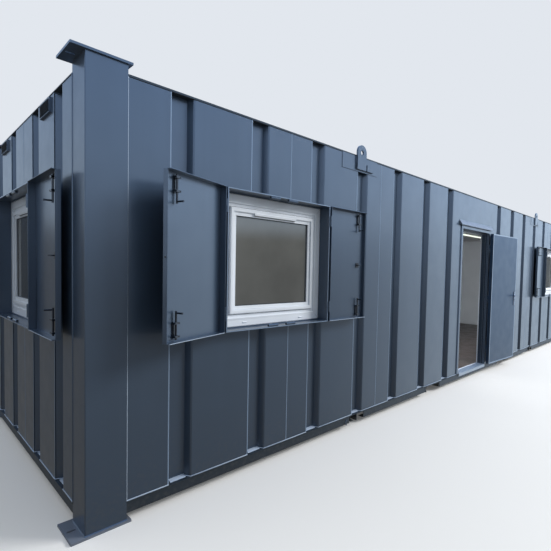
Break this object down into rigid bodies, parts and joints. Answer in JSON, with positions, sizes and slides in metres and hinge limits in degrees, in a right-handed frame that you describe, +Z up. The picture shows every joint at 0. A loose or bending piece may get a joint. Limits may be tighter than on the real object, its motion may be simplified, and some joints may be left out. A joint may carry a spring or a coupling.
{
  "type": "portable site cabin",
  "caption": "Long portable steel site cabin on corner posts, with pressed steel walls, a hinged door and windows behind hinged steel shutters.",
  "frame": {"origin": "centre of the footprint at ground level, under the base plates", "axes": "+X along the length, +Y from the door side to the back, +Z up"},
  "size_m": [11.198, 3.0187, 2.7558],
  "materials": {
    "painted_steel": "semi-gloss blue-grey paint on pressed steel",
    "primed_steel": "matt black primer",
    "floor_board": "brown sealed floor sheet on board",
    "lining_board": "pale matt lining board",
    "light_diffuser": "opal light diffuser",
    "window_frame": "white window frame plastic",
    "window_glass": "clear sealed glazing unit",
    "door_hardware": "satin lever handles and plates",
    "threshold_metal": "plain folded threshold plate",
    "vent_steel": "dark louvred vent",
    "bolt_steel": "black slide bolts"
  },
  "bodies": {
    "cabin": {"corner_posts": "painted_steel", "base_plates": "painted_steel", "top_plates": "painted_steel", "base_rail_front": "painted_steel", "base_rail_back": "painted_steel", "base_rails_end": "painted_steel", "floor_joists": "primed_steel", "fork_pockets": "primed_steel", "lifting_feet": "primed_steel", "floor_deck": "floor_board", "front_wall_left": "painted_steel", "front_wall_right": "painted_steel", "front_wall_over_door": "painted_steel", "back_wall": "painted_steel", "left_end_wall": "painted_steel", "right_end_wall": "painted_steel", "wall_linings": "lining_board", "ceiling": "lining_board", "roof_edges": "painted_steel", "roof_sheet": "painted_steel", "strip_lights": "light_diffuser", "lifting_lugs": "painted_steel", "window_surrounds": "painted_steel", "window_frames": "window_frame", "window_glass": "window_glass", "door_frame": "painted_steel", "door_threshold": "threshold_metal", "drip_strip": "painted_steel", "end_vents": "vent_steel"},
    "door": {"door_leaf": "painted_steel", "door_handles": "door_hardware"},
    "front_left_window_left_shutter": {"front_left_window_left_shutter": "painted_steel", "front_left_window_left_shutter_bolts": "bolt_steel"},
    "front_left_window_right_shutter": {"front_left_window_right_shutter": "painted_steel", "front_left_window_right_shutter_bolts": "bolt_steel"},
    "front_right_window_left_shutter": {"front_right_window_left_shutter": "painted_steel", "front_right_window_left_shutter_bolts": "bolt_steel"},
    "front_right_window_right_shutter": {"front_right_window_right_shutter": "painted_steel", "front_right_window_right_shutter_bolts": "bolt_steel"},
    "left_end_window_left_shutter": {"left_end_window_left_shutter": "painted_steel", "left_end_window_left_shutter_bolts": "bolt_steel"},
    "left_end_window_right_shutter": {"left_end_window_right_shutter": "painted_steel", "left_end_window_right_shutter_bolts": "bolt_steel"},
    "right_end_window_left_shutter": {"right_end_window_left_shutter": "painted_steel", "right_end_window_left_shutter_bolts": "bolt_steel"},
    "right_end_window_right_shutter": {"right_end_window_right_shutter": "painted_steel", "right_end_window_right_shutter_bolts": "bolt_steel"}
  },
  "joints": [
    {"name": "front_left_window_left_shutter_hinge", "type": "hinge", "parent": "cabin", "child": "front_left_window_left_shutter", "pos_m": [-4.595, -1.46, 1.1], "axis": [0, 0, -1], "range_deg": [-161.5, 18.5]},
    {"name": "front_left_window_right_shutter_hinge", "type": "hinge", "parent": "cabin", "child": "front_left_window_right_shutter", "pos_m": [-3.485, -1.46, 1.1], "axis": [0, 0, 1], "range_deg": [-180, 0]},
    {"name": "front_right_window_left_shutter_hinge", "type": "hinge", "parent": "cabin", "child": "front_right_window_left_shutter", "pos_m": [3.485, -1.46, 1.1], "axis": [0, 0, -1], "range_deg": [-180, 0]},
    {"name": "front_right_window_right_shutter_hinge", "type": "hinge", "parent": "cabin", "child": "front_right_window_right_shutter", "pos_m": [4.595, -1.46, 1.1], "axis": [0, 0, 1], "range_deg": [-180, 0]},
    {"name": "left_end_window_left_shutter_hinge", "type": "hinge", "parent": "cabin", "child": "left_end_window_left_shutter", "pos_m": [-5.581, 0.555, 1.1], "axis": [0, 0, -1], "range_deg": [-180, 0]},
    {"name": "left_end_window_right_shutter_hinge", "type": "hinge", "parent": "cabin", "child": "left_end_window_right_shutter", "pos_m": [-5.581, -0.555, 1.1], "axis": [0, 0, 1], "range_deg": [-180, 0]},
    {"name": "right_end_window_left_shutter_hinge", "type": "hinge", "parent": "cabin", "child": "right_end_window_left_shutter", "pos_m": [5.581, -0.555, 1.1], "axis": [0, 0, -1], "range_deg": [-180, 0]},
    {"name": "right_end_window_right_shutter_hinge", "type": "hinge", "parent": "cabin", "child": "right_end_window_right_shutter", "pos_m": [5.581, 0.555, 1.1], "axis": [0, 0, 1], "range_deg": [-180, 0]},
    {"name": "door_hinge", "type": "hinge", "parent": "cabin", "child": "door", "pos_m": [0.492, -1.384, 0.137], "axis": [0, 0, 1], "range_deg": [-177, 1]}
  ]
}
